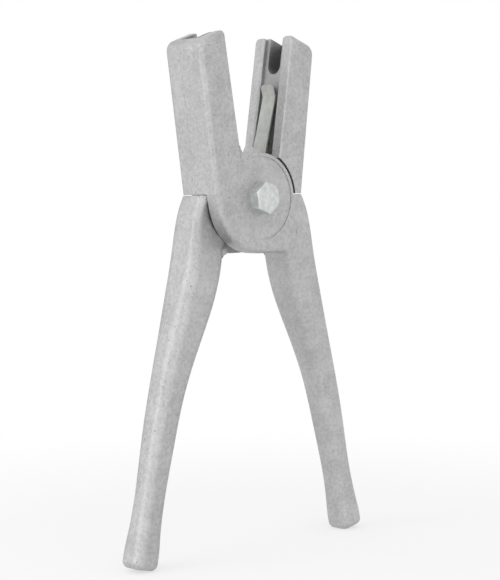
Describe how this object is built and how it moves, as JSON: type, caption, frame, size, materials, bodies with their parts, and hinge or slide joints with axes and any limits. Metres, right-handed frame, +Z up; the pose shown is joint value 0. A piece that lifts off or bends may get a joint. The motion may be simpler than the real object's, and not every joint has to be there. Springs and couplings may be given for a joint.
{
  "type": "ear tag applicator",
  "caption": "Cast aluminium pliers that clinch metal ear tags: half-lapped castings swing on a pivot bolt against a leaf spring, with a tag channel in each jaw.",
  "frame": {"origin": "on the pivot axis, midway through the thickness of the castings", "axes": "+Z up from the handles to the jaws, +Y along the pivot axis from the bolt's head at the front to its nut at the back, +X to the right seen from the front"},
  "size_m": [0.142, 0.0403, 0.2355],
  "materials": {
    "cast_aluminium": "tumbled casting, matt",
    "zinc_plated_steel": "bright zinc plating",
    "nylon": "moulded",
    "spring_steel": "plated, grey-green"
  },
  "bodies": {
    "front": {"front_half": "cast_aluminium", "pivot_bolt": "zinc_plated_steel", "washer": "zinc_plated_steel", "lock_nut": "zinc_plated_steel", "nut_ring": "nylon", "leaf_spring": "spring_steel"},
    "rear": {"rear_half": "cast_aluminium"}
  },
  "joints": [
    {"name": "pivot", "type": "hinge", "parent": "front", "child": "rear", "pos_m": [0, 0, 0], "axis": [0, -1, 0], "range_deg": [0, 31.1], "stiffness_Nm_per_rad": 2.5, "springref_deg": -17.19, "deforming": ["leaf_spring"]}
  ]
}
